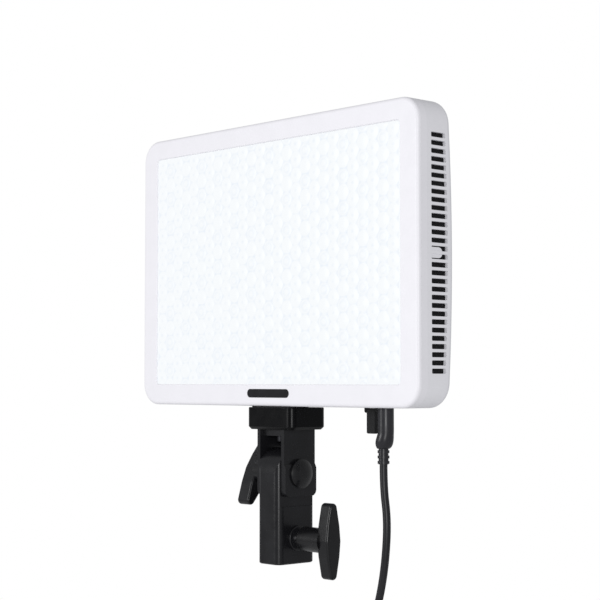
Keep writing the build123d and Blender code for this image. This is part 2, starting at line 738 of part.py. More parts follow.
with BuildPart() as control_pod:
    with BuildSketch(at_depth(COVER_SEAT, POD_Z)):
        RectangleRounded(POD_W, POD_H, POD_R)
    extrude(amount=-(POD_BACK - COVER_SEAT))
    fillet(control_pod.faces().sort_by(Axis.Y)[-1].edges(), POD_EDGE_R)
    with BuildSketch(at_depth(COVER_SEAT, POD_Z)):
        RectangleRounded(POD_W - 2 * POD_WALL, POD_H - 2 * POD_WALL, POD_R - POD_WALL)
    extrude(amount=-(POD_BACK - POD_WALL - COVER_SEAT), mode=Mode.SUBTRACT)
    add(outer_form, mode=Mode.SUBTRACT)
    with BuildSketch(at_depth(POD_BACK - POD_WALL - 1, POD_Z)):
        with Locations((0, DISPLAY_Z - POD_Z)):
            RectangleRounded(DISPLAY_W, DISPLAY_H, 1.5)
        with Locations((DIAL_X, DIAL_Z - POD_Z), (-DIAL_X, DIAL_Z - POD_Z)):
            Circle(BUSHING_R + 0.1)
        for button_x, button_w in BUTTONS.values():
            with Locations((button_x, BUTTON_Z - POD_Z)):
                SlotOverall(button_w + 2 * BUTTON_GAP + 0.01, 2 * (BUTTON_R + BUTTON_GAP))
    extrude(amount=-(POD_WALL + 2), mode=Mode.SUBTRACT)
save(control_pod, "control_pod")

with BuildPart() as display_window:
    with BuildSketch(at_depth(POD_BACK - 1.7, DISPLAY_Z)):
        RectangleRounded(DISPLAY_W - 0.1, DISPLAY_H - 0.1, 1.45)
    extrude(amount=-1.6)
save(display_window, "display_window")

for side, hand in ((1, "right"), (-1, "left")):
    dial_plane = Plane(origin=(side * DIAL_X, FRONT_Y, DIAL_Z), x_dir=(1, 0, 0), z_dir=(0, 1, 0))
    with BuildPart() as encoder_body:
        with BuildSketch(dial_plane.offset(CONTROL_BACK)):
            RectangleRounded(ENCODER, ENCODER, ENCODER_R)
        extrude(amount=ENCODER_DEPTH)
        with BuildSketch(dial_plane.offset(CONTROL_BACK)):
            Circle(BUSHING_R)
        extrude(amount=POD_BACK - 0.1 - CONTROL_BACK)
        with BuildSketch(dial_plane.offset(CONTROL_BACK + ENCODER_FLOOR)):
            Circle(SHAFT_R + RUNNING_FIT)
        extrude(amount=POD_BACK - CONTROL_BACK, mode=Mode.SUBTRACT)
    save(encoder_body, f"encoder_body_{hand}")
    with BuildPart() as encoder_shaft:
        with BuildSketch(dial_plane.offset(CONTROL_BACK + ENCODER_FLOOR + SHAFT_END_GAP)):
            Circle(SHAFT_R)
        extrude(amount=DIAL_BACK - DIAL_CROWN_T - 0.1 - CONTROL_BACK - ENCODER_FLOOR - SHAFT_END_GAP)
    save(encoder_shaft, f"encoder_shaft_{hand}")
    with BuildPart() as dial:
        with BuildSketch(dial_plane.offset(DIAL_FRONT)):
            Circle(DIAL_R)
            with PolarLocations(DIAL_R + GRIP_OUT, GRIP_COUNT):
                Circle(GRIP_R, mode=Mode.SUBTRACT)
        extrude(amount=DIAL_BACK - DIAL_FRONT)
        chamfer(dial.faces().sort_by(Axis.Y)[-1].edges(), DIAL_BEVEL)
        with BuildSketch(dial_plane.offset(DIAL_FRONT)):
            Circle(SHAFT_R + PRESS_FIT)
        extrude(amount=DIAL_BACK - DIAL_CROWN_T - DIAL_FRONT, mode=Mode.SUBTRACT)
    save(dial, f"dial_{hand}")

for name, (button_x, button_w) in BUTTONS.items():
    with BuildPart() as button:
        with BuildSketch(at_depth(POD_BACK - POD_WALL - BUTTON_GAP - 1.0, BUTTON_Z)):
            with Locations((button_x, 0)):
                SlotOverall(button_w + 2 * FLANGE + 0.01, 2 * (BUTTON_R + FLANGE))
        extrude(amount=-1.0)
        with BuildSketch(at_depth(POD_BACK - POD_WALL - BUTTON_GAP - 0.5, BUTTON_Z)):
            with Locations((button_x, 0)):
                SlotOverall(button_w + 0.01, 2 * BUTTON_R)
        extrude(amount=-(POD_WALL + BUTTON_GAP + 0.5 + BUTTON_PROUD))
        fillet(button.faces().sort_by(Axis.Y)[-1].edges(), 0.6)
        with BuildSketch(at_depth(STEM_FRONT, BUTTON_Z)):
            with Locations((button_x, 0)):
                Circle(STEM_R)
        extrude(amount=-STEM_LEN)
    save(button, name)

with BuildPart() as button_switches:
    with BuildSketch(at_depth(CONTROL_BACK, BUTTON_Z)):
        with Locations(*[(button_x, 0) for button_x, _ in BUTTONS.values()]):
            RectangleRounded(SWITCH_W, SWITCH_H, SWITCH_R)
    extrude(amount=-(SWITCH_BACK - CONTROL_BACK))
save(button_switches, "button_switches")

# ---------------------------------------------------------------- sockets and port cover
JACK_TOP = 11.0
JACK_W = 11.0
JACK_D = 8.0
JACK_CAP = 9.0           # its bore ends this far above the panel's underside
CONTACT_R = 0.9
USB_SHELL_T = 0.3
USB_SILL = 0.4
with BuildPart() as dc_jack:
    with BuildSketch(Plane.XY.offset(PANEL_Z + WALL)):
        with Locations((JACK_X, JACK_Y)):
            RectangleRounded(JACK_W, JACK_D, 0.6)
            Circle(BARREL_R + 0.1, mode=Mode.SUBTRACT)
    extrude(amount=JACK_TOP - WALL)
    with BuildSketch(Plane.XY.offset(PANEL_Z + JACK_CAP)):
        with Locations((JACK_X, JACK_Y)):
            Rectangle(8.0, 7.0)
    extrude(amount=JACK_TOP - JACK_CAP)
    with BuildSketch(Plane.XY.offset(PANEL_Z + WALL)):
        with Locations((JACK_X, JACK_Y)):
            Circle(CONTACT_R)
    extrude(amount=JACK_TOP - WALL)
save(dc_jack, "dc_jack")

with BuildPart() as usb_port:
    with BuildSketch(Plane.XY.offset(PANEL_Z + USB_SILL)):
        with Locations((USB_X, USB_Y)):
            SlotOverall(USB_W, USB_H)
            SlotOverall(USB_W - 2 * USB_SHELL_T, USB_H - 2 * USB_SHELL_T, mode=Mode.SUBTRACT)
    extrude(amount=6.0)
    with BuildSketch(Plane.XY.offset(PANEL_Z + 6.0)):
        with Locations((USB_X, USB_Y)):
            SlotOverall(USB_W, USB_H)
    extrude(amount=1.4)
    with BuildSketch(Plane.XY.offset(PANEL_Z + 1.2)):
        with Locations((USB_X, USB_Y)):
            Rectangle(6.4, 0.8)
    extrude(amount=5.0)
save(usb_port, "usb_port")

with BuildPart() as port_cover:
    with BuildSketch(side_plane(COVER_X - COVER_W / 2)):
        with Locations((COVER_AXIS_Y, COVER_AXIS_Z)):
            Circle(COVER_T / 2)
        with Locations((COVER_AXIS_Y, COVER_AXIS_Z - COVER_LEN / 2)):
            Rectangle(COVER_T, COVER_LEN)
        with Locations((COVER_AXIS_Y, COVER_AXIS_Z)):
            Circle(HINGE_PIN_R + HINGE_FIT, mode=Mode.SUBTRACT)
    extrude(amount=COVER_W)
    fillet(port_cover.faces().sort_by(Axis.Z)[0].edges(), COVER_EDGE_R)
save(port_cover, "port_cover")

with BuildPart() as port_cover_hinge:
    with BuildSketch(side_plane(COVER_X - COVER_W / 2 - LUG_GAP - LUG_T)):
        with Locations((COVER_AXIS_Y, COVER_AXIS_Z)):
            Circle(HINGE_PIN_R)
    extrude(amount=COVER_W + 2 * (LUG_GAP + LUG_T))
    for side in (1, -1):
        with BuildSketch(side_plane(COVER_X + side * (COVER_W / 2 + LUG_GAP))):
            with Locations((COVER_AXIS_Y, COVER_AXIS_Z)):
                Circle(COVER_T / 2)
            with Locations((COVER_AXIS_Y, (COVER_AXIS_Z + PANEL_Z) / 2)):
                Rectangle(COVER_T, PANEL_Z - COVER_AXIS_Z)
        extrude(amount=side * LUG_T)
save(port_cover_hinge, "port_cover_hinge")

# ---------------------------------------------------------------- block and tilt arm
PAD_Y = -5.2
PAD_W = 40.0
PAD_D = 16.4
PAD_R = 3.0
with BuildPart() as mount_pad:
    with BuildSketch(Plane.XY.offset(BLOCK_TOP)):
        with Locations((0, PAD_Y)):
            RectangleRounded(PAD_W, PAD_D, PAD_R)
        with Locations((0, MOUNT_SCREW_Y)):
            Circle(SCREW_CLEAR_R, mode=Mode.SUBTRACT)
    extrude(amount=PANEL_Z - BLOCK_TOP)
save(mount_pad, "mount_pad")

with BuildPart() as mount_block:
    with BuildSketch(Plane.XY.offset(BLOCK_BOTTOM)):
        RectangleRounded(2 * BLOCK_HALF_W, 2 * BLOCK_HALF_D, BLOCK_R)
    extrude(amount=BLOCK_TOP - BLOCK_BOTTOM)
    chamfer(mount_block.faces().sort_by(Axis.Z)[0].edges(), BLOCK_BEVEL)
    fillet(mount_block.faces().sort_by(Axis.Z)[-1].edges(), BLOCK_TOP_R)
    with BuildSketch(Plane.XY.offset(BLOCK_BOTTOM)):
        with Locations((0, MOUNT_SCREW_Y)):
            Circle(SCREW_CLEAR_R)
    extrude(amount=BLOCK_TOP - BLOCK_BOTTOM, mode=Mode.SUBTRACT)
save(mount_block, "mount_block")

WEB_Z = BLOCK_BOTTOM - WEB_T
KEY_R = 2.7
KEY_DEPTH = 2.4
SCREW_TIP_GAP = 0.5
with BuildPart() as mount_screw:
    with BuildSketch(Plane.XY.offset(WEB_Z - SCREW_HEAD_T)):
        with Locations((0, MOUNT_SCREW_Y)):
            Circle(SCREW_HEAD_R)
    extrude(amount=SCREW_HEAD_T)
    chamfer(mount_screw.faces().sort_by(Axis.Z)[0].edges(), 0.4)
    with BuildSketch(Plane.XY.offset(WEB_Z - SCREW_HEAD_T)):
        with Locations((0, MOUNT_SCREW_Y)):
            RegularPolygon(KEY_R, 6)
    extrude(amount=KEY_DEPTH, mode=Mode.SUBTRACT)
    with BuildSketch(Plane.XY.offset(WEB_Z)):
        with Locations((0, MOUNT_SCREW_Y)):
            Circle(SCREW_SHANK_R)
    extrude(amount=PANEL_Z + INSERT_LEN - SCREW_TIP_GAP - WEB_Z)
save(mount_screw, "mount_screw")

CHEEK_LOW = PIVOT_Z - CHEEK_BELOW_PIVOT
WASHER_R = 9.0
WASHER_T = 0.7
WASHER_RECESS = 0.5
CHEEK_R = 4.0
PAD_OVERLAP = 0.1
WEB_Y = -0.5
WEB_D = 19.0
BACK_WALL_Y = 9.0        # front face of the wall that closes the fork at the back
BACK_WALL_Z = 74.0       # its lower edge clears the tongue at every tilt
with BuildPart() as tilt_arm:
    for side in (1, -1):
        with BuildSketch(side_plane(side * CHEEK_IN)) as cheek:
            with Locations((0, (CHEEK_LOW + BLOCK_BOTTOM) / 2)):
                Rectangle(2 * CHEEK_HALF_D, BLOCK_BOTTOM - CHEEK_LOW)
            fillet(cheek.vertices().group_by(Axis.Y)[0], CHEEK_R)
        extrude(amount=side * CHEEK_T)
    with BuildSketch(side_plane(CHEEK_OUT - PAD_OVERLAP)) as cheek_pad:
        with Locations((0, (CHEEK_LOW + PIVOT_Z + PAD_ABOVE_PIVOT) / 2)):
            Rectangle(2 * CHEEK_HALF_D, PIVOT_Z + PAD_ABOVE_PIVOT - CHEEK_LOW)
        fillet(cheek_pad.vertices().group_by(Axis.Y)[0], CHEEK_R)
    extrude(amount=PAD_T + PAD_OVERLAP)
    pad_face = tilt_arm.faces().sort_by(Axis.X)[-1]
    chamfer(pad_face.edges().sort_by(Axis.Z)[-1], PAD_T * 0.9, PAD_T * 1.6)
    with BuildSketch(Plane.XY.offset(WEB_Z)):
        with Locations((0, WEB_Y)):
            Rectangle(2 * CHEEK_IN + 1.0, WEB_D)
    extrude(amount=WEB_T)
    with BuildSketch(Plane.XY.offset(BACK_WALL_Z)):
        with Locations((0, (BACK_WALL_Y + CHEEK_HALF_D) / 2)):
            Rectangle(2 * CHEEK_IN + 1.0, CHEEK_HALF_D - BACK_WALL_Y)
    extrude(amount=BLOCK_BOTTOM - BACK_WALL_Z)
    with BuildSketch(side_plane(-2 * CHEEK_OUT)):
        with Locations((0, PIVOT_Z)):
            Circle(BOLT_HOLE_R)
    extrude(amount=4 * CHEEK_OUT, mode=Mode.SUBTRACT)
    with BuildSketch(side_plane(-(CHEEK_IN + WASHER_RECESS))):
        with Locations((0, PIVOT_Z)):
            Circle(WASHER_R + 0.2)
    extrude(amount=2 * (CHEEK_IN + WASHER_RECESS), mode=Mode.SUBTRACT)
    with BuildSketch(Plane.XY.offset(WEB_Z)):
        with Locations((0, MOUNT_SCREW_Y)):
            Circle(SCREW_CLEAR_R)
    extrude(amount=WEB_T, mode=Mode.SUBTRACT)
save(tilt_arm, "tilt_arm")

with BuildPart() as friction_washers:
    for side in (1, -1):
        with BuildSketch(side_plane(side * (CHEEK_IN + WASHER_RECESS))):
            with Locations((0, PIVOT_Z)):
                Circle(WASHER_R)
                Circle(BOLT_HOLE_R + 0.1, mode=Mode.SUBTRACT)
        extrude(amount=-side * WASHER_T)
save(friction_washers, "friction_washers")

BOLT_HEAD_T = 2.6
BOLT_HEAD_R = 6.2
PAD_OUT = CHEEK_OUT + PAD_T
BOLT_END = LOCK_HUB + 8.6
with BuildPart() as pivot_bolt:
    with BuildSketch(side_plane(PAD_OUT)):
        with Locations((0, PIVOT_Z)):
            RegularPolygon(BOLT_HEAD_R, 6)
    extrude(amount=BOLT_HEAD_T)
    with BuildSketch(side_plane(PAD_OUT)):
        with Locations((0, PIVOT_Z)):
            Circle(BOLT_R)
    extrude(amount=-(PAD_OUT + BOLT_END))
save(pivot_bolt, "pivot_bolt")

CAP_R = 9.3
CAP_RIM = 1.2
CAP_HEIGHT = 4.4
DOME_R = (CAP_R**2 + (CAP_HEIGHT - CAP_RIM) ** 2) / (2 * (CAP_HEIGHT - CAP_RIM))
dome_half = math.asin(CAP_R / DOME_R) / 2
with BuildPart() as pivot_cap:
    with BuildSketch(Plane(origin=(PAD_OUT, 0, PIVOT_Z), x_dir=(1, 0, 0), z_dir=(0, -1, 0))):
        with BuildLine():
            Polyline((0, 0), (0, CAP_R), (CAP_RIM, CAP_R))
            ThreePointArc(
                (CAP_RIM, CAP_R),
                (CAP_HEIGHT - DOME_R * (1 - math.cos(dome_half)), DOME_R * math.sin(dome_half)),
                (CAP_HEIGHT, 0),
            )
            Line((CAP_HEIGHT, 0), (0, 0))
        make_face()
    revolve(axis=Axis((0, 0, PIVOT_Z), (1, 0, 0)))
    with BuildSketch(side_plane(PAD_OUT)):
        with Locations((0, PIVOT_Z)):
            Circle(BOLT_HEAD_R + 0.2)
    extrude(amount=BOLT_HEAD_T + 0.1, mode=Mode.SUBTRACT)
save(pivot_cap, "pivot_cap")

# ---------------------------------------------------------------- tilt lock
LOCK_WASHER_R = 8.6
LOCK_WASHER_T = 1.2
with BuildPart() as lock_washer:
    with BuildSketch(side_plane(-CHEEK_OUT)):
        with Locations((0, PIVOT_Z)):
            Circle(LOCK_WASHER_R)
            Circle(BOLT_HOLE_R + 0.1, mode=Mode.SUBTRACT)
    extrude(amount=-LOCK_WASHER_T)
save(lock_washer, "lock_washer")

NUT_R = 5.4
NUT_LEN = 9.0
NUT_SETBACK = 0.2
lean = math.radians(LOCK_ANGLE)
lock_base = Plane(
    origin=(-LOCK_HUB, 0, PIVOT_Z),
    x_dir=(0, math.sin(lean), math.cos(lean)),
    z_dir=(-1, 0, 0),
)
lock_handle = t_handle(lock_base, LOCK_WING - LOCK_HUB, LOCK_END - LOCK_HUB, NUT_R + PRESS_FIT, NUT_LEN + 0.4)
save(lock_handle, "lock_handle")
with BuildPart() as lock_nut:
    with BuildSketch(lock_base.offset(NUT_SETBACK)):
        Circle(NUT_R)
        Circle(BOLT_R + 0.08, mode=Mode.SUBTRACT)
    extrude(amount=NUT_LEN)
save(lock_nut, "lock_nut")

# ---------------------------------------------------------------- stand receiver and its clamp
with BuildPart() as receiver:
    with BuildSketch(Plane.XY):
        RectangleRounded(2 * COLUMN_HALF_W, 2 * COLUMN_HALF_D, COLUMN_R)
    extrude(amount=PIVOT_Z + COLUMN_HALF_D)
    chamfer(receiver.faces().sort_by(Axis.Z)[0].edges(), COLUMN_BEVEL)
    with BuildSketch(Plane.YZ):
        with Locations((0, PIVOT_Z / 2)):
            Rectangle(2 * COLUMN_HALF_D, PIVOT_Z)
        with Locations((0, PIVOT_Z)):
            Circle(COLUMN_HALF_D)
    extrude(amount=2 * COLUMN_HALF_W, both=True, mode=Mode.INTERSECT)
    with BuildSketch(Plane.XY.offset(PIVOT_Z - FLAT_BELOW_PIVOT)):
        with Locations((TONGUE_HALF_W + TONGUE_CUT / 2, 0), (-TONGUE_HALF_W - TONGUE_CUT / 2, 0)):
            Rectangle(TONGUE_CUT, 3 * COLUMN_HALF_D)
    extrude(amount=PIVOT_Z, mode=Mode.SUBTRACT)
    with BuildSketch(side_plane(COLUMN_HALF_W - BOSS_EDGE_R)):
        with Locations((0, CLAMP_Z)):
            Circle(CLAMP_BOSS_R)
    extrude(amount=CLAMP_BOSS_OUT - COLUMN_HALF_W + BOSS_EDGE_R)
    fillet(receiver.faces().sort_by(Axis.X)[-1].edges(), BOSS_EDGE_R)
    with BuildSketch(side_plane(4.0)):
        with Locations((0, CLAMP_Z)):
            Circle(BOLT_HOLE_R)
    extrude(amount=CLAMP_BOSS_OUT, mode=Mode.SUBTRACT)
    with BuildSketch(Plane.XY):
        Circle(SOCKET_R)
    extrude(amount=SOCKET_DEPTH, mode=Mode.SUBTRACT)
    with BuildSketch(side_plane(-COLUMN_HALF_W)):
        with Locations((0, PIVOT_Z)):
            Circle(BOLT_HOLE_R)
    extrude(amount=2 * COLUMN_HALF_W, mode=Mode.SUBTRACT)
save(receiver, "receiver")

SHOE_OUT = 10.3
SHOE_R = 3.7
NOSE_R = 2.0
with BuildPart() as clamp_shoe:
    with BuildSketch(side_plane(6.0)):
        with Locations((0, CLAMP_Z)):
            Circle(SHOE_R)
    extrude(amount=SHOE_OUT - 6.0)
    with BuildSketch(side_plane(SHOE_OUT)):
        with Locations((0, CLAMP_Z)):
            Circle(NOSE_R + 0.1)
    extrude(amount=-1.1, mode=Mode.SUBTRACT)
    with BuildSketch(Plane.XY):
        Circle(SOCKET_R + 0.02)
    extrude(amount=SOCKET_DEPTH, mode=Mode.SUBTRACT)
save(clamp_shoe, "clamp_shoe")

with BuildPart() as clamp_screw:
    with BuildSketch(side_plane(SHOE_OUT + 0.1)):
        with Locations((0, CLAMP_Z)):
            Circle(BOLT_R)
    extrude(amount=CLAMP_WING + 3.0 - SHOE_OUT)
    with BuildSketch(side_plane(SHOE_OUT - 0.9)):
        with Locations((0, CLAMP_Z)):
            Circle(NOSE_R)
    extrude(amount=2.0)
save(clamp_screw, "clamp_screw")
clamp_base = Plane(origin=(CLAMP_HUB, 0, CLAMP_Z), x_dir=(0, 0, 1), z_dir=(1, 0, 0))
clamp_handle = t_handle(
    clamp_base, CLAMP_WING - CLAMP_HUB, CLAMP_END - CLAMP_HUB, BOLT_R + 0.02, CLAMP_WING + 3.2 - CLAMP_HUB
)
save(clamp_handle, "clamp_handle")

# ---------------------------------------------------------------- plug and lead
RELIEF_X = 90.6
RELIEF_TOP = PANEL_Z - 24.6
LEAD_TOP = PANEL_Z - 34.0
PLUG_R = 4.9
PLUG_NECK = 14.0         # the plug is straight down to here below the panel
PLUG_BODY_LEN = 13.7
PLUG_BORE_LEN = 8.2
PLUG_SECTIONS = [
    (-PLUG_NECK, JACK_X, PLUG_R),
    (-17.0, 92.2, 5.1),
    (-20.5, 91.4, 5.4),
    (-23.0, 91.0, 4.9),
    (-24.6, RELIEF_X, 3.7),
]
with BuildPart() as dc_plug:
    for drop, section_x, section_r in PLUG_SECTIONS:
        with BuildSketch(Plane.XY.offset(PANEL_Z + drop)):
            with Locations((section_x, JACK_Y)):
                Circle(section_r)
    loft()
    with BuildSketch(Plane.XY.offset(PANEL_Z - PLUG_NECK)):
        with Locations((JACK_X, JACK_Y)):
            Circle(PLUG_R)
    extrude(amount=PLUG_BODY_LEN)
    with BuildSketch(Plane.XY.offset(PANEL_Z - 0.4)):
        with Locations((JACK_X, JACK_Y)):
            Circle(BARREL_R)
    extrude(amount=PLUG_BORE_LEN)
    with BuildSketch(Plane.XY.offset(PANEL_Z + 0.6)):
        with Locations((JACK_X, JACK_Y)):
            Circle(1.2)
    extrude(amount=PLUG_BORE_LEN, mode=Mode.SUBTRACT)
save(dc_plug, "dc_plug")

RELIEF_R = 3.6
RELIEF_CORE_R = 3.0
RELIEF_RIBS = (0.4, 3.6, 6.8)
RELIEF_RIB_T = 1.6
with BuildPart() as plug_strain_relief:
    with BuildSketch(Plane.XY.offset(LEAD_TOP)):
        with Locations((RELIEF_X, JACK_Y)):
            Circle(RELIEF_CORE_R)
    extrude(amount=RELIEF_TOP - LEAD_TOP)
    for rib_z in RELIEF_RIBS:
        with BuildSketch(Plane.XY.offset(LEAD_TOP + rib_z)):
            with Locations((RELIEF_X, JACK_Y)):
                Circle(RELIEF_R)
        extrude(amount=RELIEF_RIB_T)
save(plug_strain_relief, "plug_strain_relief")

coil_entry = math.radians(COIL_ENTRY)
turn_r = COIL_MEAN_R + COIL_SPREAD
FRONT_LAYER_Y = COIL_Y - (COIL_LAYERS - 1) * CORD_D / 2
REAR_LAYER_Y = COIL_Y + (COIL_LAYERS - 1) * CORD_D / 2
LEAD_ROUTE = [
    (RELIEF_X, JACK_Y, LEAD_TOP),
    (RELIEF_X, JACK_Y, 52.0),
    (94.0, -3.3, 34.0),
    (92.8, -3.4, 12.0),
    (88.6, -3.3, -10.0),
    (80.6, -3.2, -33.0),
    (COIL_X + turn_r * math.cos(coil_entry), FRONT_LAYER_Y, COIL_Z + turn_r * math.sin(coil_entry)),
]
TAIL_ROUTE = [
    (COIL_X - turn_r, REAR_LAYER_Y, COIL_Z),
    (COIL_X - turn_r + 0.4, REAR_LAYER_Y + 0.3, COIL_Z - 15.0),
    (COIL_X - turn_r + 4.4, REAR_LAYER_Y + 0.9, COIL_Z - 30.0),
]


def corner_radii(route):
    """Largest tangent arc that each corner of a route has room for."""
    radii = []
    for before, corner, after in zip(route, route[1:], route[2:]):
        run_in = Vector(*corner) - Vector(*before)
        run_out = Vector(*after) - Vector(*corner)
        half_turn = math.radians(run_in.get_angle(run_out)) / 2
        radii.append(0.45 * min(run_in.length, run_out.length) / math.tan(half_turn))
    return radii


def cord_tube(route, name):
    """Plain round tube along straight runs joined by tangent arcs."""
    radii = corner_radii(route)
    with BuildPart() as tube:
        with BuildLine():
            path = FilletPolyline(*route, radius=radii)
        with BuildSketch(Plane(origin=route[0], z_dir=path % 0)):
            Circle(CORD_D / 2)
        sweep()
    ideal = math.pi * CORD_D**2 / 4 * path.length
    print(name, "radii", [round(r, 1) for r in radii], "length", round(path.length, 1))
    print(name, "volume over section x length", round(tube.part.volume / ideal, 4))
    save(tube, name)


cord_tube(LEAD_ROUTE, "power_cable")
cord_tube(TAIL_ROUTE, "cable_tail")

with BuildPart() as cable_coil:
    with BuildSketch(Plane(origin=(COIL_X, COIL_Y, COIL_Z), x_dir=(1, 0, 0), z_dir=(0, 0, 1))):
        with Locations((COIL_MEAN_R, 0)):
            RectangleRounded(COIL_OUTER_R - COIL_INNER_R, 2 * COIL_HALF_Y, CORD_D / 2)
    revolve(axis=Axis((COIL_X, COIL_Y, COIL_Z), (0, 1, 0)))
save(cable_coil, "cable_coil")

with BuildPart() as cable_tie:
    with BuildSketch(side_plane(COIL_X - TIE_WIDTH / 2)):
        tie_w = 2 * COIL_HALF_Y + 0.2
        tie_h = COIL_OUTER_R - COIL_INNER_R + 0.9
        with Locations((COIL_Y, COIL_Z + COIL_MEAN_R - 0.15)):
            RectangleRounded(tie_w + 2 * TIE_T, tie_h + 2 * TIE_T, 3.0)
            RectangleRounded(tie_w, tie_h, 1.8, mode=Mode.SUBTRACT)
    extrude(amount=TIE_WIDTH)
save(cable_tie, "cable_tie")

tail_end = Vector(*TAIL_ROUTE[-1])
tail_dir = (tail_end - Vector(*TAIL_ROUTE[-2])).normalized()
NECK_LEN = 13.0
NECK_SECTIONS = ((0.0, 3.0), (9.0, 3.9), (NECK_LEN, 5.4))
SLEEVE_R = 5.4
PLUG_BORE_R = 2.85
PLUG_BORE_DEPTH = 10.0
with BuildPart() as inline_connector:
    for along, section_r in NECK_SECTIONS:
        with BuildSketch(Plane(origin=tail_end + tail_dir * along, z_dir=tail_dir)):
            Circle(section_r)
    loft()
    with BuildSketch(Plane(origin=tail_end + tail_dir * NECK_LEN, z_dir=tail_dir)):
        Circle(SLEEVE_R)
    extrude(amount=SOCKET_LEN - NECK_LEN)
    with BuildSketch(Plane(origin=tail_end + tail_dir * SOCKET_LEN, z_dir=tail_dir)):
        Circle(PLUG_BORE_R)
    extrude(amount=-PLUG_BORE_DEPTH, mode=Mode.SUBTRACT)
save(inline_connector, "inline_connector")
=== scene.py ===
"""The looks of the LED panel light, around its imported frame. Metres, +Z up, the light shines towards -Y."""

import math

import bpy
import numpy as np
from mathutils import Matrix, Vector


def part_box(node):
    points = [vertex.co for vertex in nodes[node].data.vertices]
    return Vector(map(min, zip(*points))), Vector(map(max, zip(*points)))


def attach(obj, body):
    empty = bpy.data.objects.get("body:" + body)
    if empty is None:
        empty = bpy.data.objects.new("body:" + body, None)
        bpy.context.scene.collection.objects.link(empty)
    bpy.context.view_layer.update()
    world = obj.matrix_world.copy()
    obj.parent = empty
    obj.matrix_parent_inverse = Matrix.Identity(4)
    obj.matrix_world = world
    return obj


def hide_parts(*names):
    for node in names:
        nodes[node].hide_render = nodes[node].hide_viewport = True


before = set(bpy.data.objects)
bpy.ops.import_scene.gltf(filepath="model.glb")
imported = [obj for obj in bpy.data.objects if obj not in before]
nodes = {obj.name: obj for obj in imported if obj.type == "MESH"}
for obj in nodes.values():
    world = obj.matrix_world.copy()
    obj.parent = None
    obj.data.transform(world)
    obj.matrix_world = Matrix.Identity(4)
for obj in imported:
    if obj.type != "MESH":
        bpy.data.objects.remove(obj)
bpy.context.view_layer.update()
scene = bpy.context.scene

MM = 0.001

# ---------------------------------------------------------------- camera
CAMERA_AT = (0.74798, -0.67850, 0.11641)
CAMERA_AZIMUTH = 47.28   # degrees round from looking straight at the front
CAMERA_PITCH = 2.99      # degrees up from level
CAMERA_LENS = 93.42
CAMERA_SENSOR = 36.0
camera_data = bpy.data.cameras.new("camera")
camera_data.lens = CAMERA_LENS
camera_data.sensor_width = CAMERA_SENSOR
camera = bpy.data.objects.new("camera", camera_data)
camera.location = CAMERA_AT
camera.rotation_euler = (math.radians(90 + CAMERA_PITCH), 0, math.radians(CAMERA_AZIMUTH))
scene.collection.objects.link(camera)
scene.camera = camera
scene.view_settings.view_transform = "Standard"


# ---------------------------------------------------------------- materials
WEAR_SCALE = 2.3         # the roughness varies this much more finely than the colour
ROUGH_BELOW = 0.04
ROUGH_ABOVE = 0.05
WAVE_PER_METRE = 0.314   # scale of a wave texture whose bands are one metre apart


def new_material(name):
    """An empty node material: its tree, its shader and its object coordinates."""
    material = bpy.data.materials.new(name)
    material.use_nodes = True
    tree = material.node_tree
    shader = tree.nodes["Principled BSDF"]
    coords = tree.nodes.new("ShaderNodeTexCoord").outputs["Object"]
    return material, tree, shader, coords


def noise(tree, coords, scale, detail=3.0):
    """Noise at a scale in repeats per metre."""
    node = tree.nodes.new("ShaderNodeTexNoise")
    node.inputs["Scale"].default_value = scale
    node.inputs["Detail"].default_value = detail
    tree.links.new(coords, node.inputs["Vector"])
    return node.outputs["Fac"]


def ramp(tree, factor, low, high, start=0.3, end=0.7):
    """A two-stop colour ramp of a factor."""
    node = tree.nodes.new("ShaderNodeValToRGB")
    node.color_ramp.elements[0].position = start
    node.color_ramp.elements[0].color = (*low, 1)
    node.color_ramp.elements[1].position = end
    node.color_ramp.elements[1].color = (*high, 1)
    tree.links.new(factor, node.inputs["Fac"])
    return node.outputs["Color"]


def grey(value):
    """A neutral colour."""
    return (value, value, value)


def tinted(colour, factor):
    """A colour made lighter or darker by a factor."""
    return tuple(min(1.0, c * factor) for c in colour)


def surface(
    name,
    colour,
    rough,
    metal=0.0,
    vary=0.06,
    patch=60.0,
    grain=2500.0,
    bump=0.1,
    depth=0.00004,
    spec=0.5,
    **sockets,
):
    """A moulded, painted or metal surface: soft patches of colour and roughness over a fine grain.

    vary is the share by which the colour wanders, and patch and grain are repeats per metre.
    """
    material, tree, shader, coords = new_material(name)
    patches = noise(tree, coords, patch)
    colour_out = ramp(tree, patches, tinted(colour, 1 - vary), tinted(colour, 1 + vary))
    tree.links.new(colour_out, shader.inputs["Base Color"])
    wear = noise(tree, coords, patch * WEAR_SCALE)
    rough_out = ramp(tree, wear, grey(rough - ROUGH_BELOW), grey(rough + ROUGH_ABOVE))
    tree.links.new(rough_out, shader.inputs["Roughness"])
    shader.inputs["Metallic"].default_value = metal
    shader.inputs["Specular IOR Level"].default_value = spec
    for socket, value in sockets.items():
        shader.inputs[socket.replace("_", " ")].default_value = value
    bump_node = tree.nodes.new("ShaderNodeBump")
    bump_node.inputs["Strength"].default_value = bump
    bump_node.inputs["Distance"].default_value = depth
    tree.links.new(noise(tree, coords, grain, 2.0), bump_node.inputs["Height"])
    tree.links.new(bump_node.outputs["Normal"], shader.inputs["Normal"])
    return material


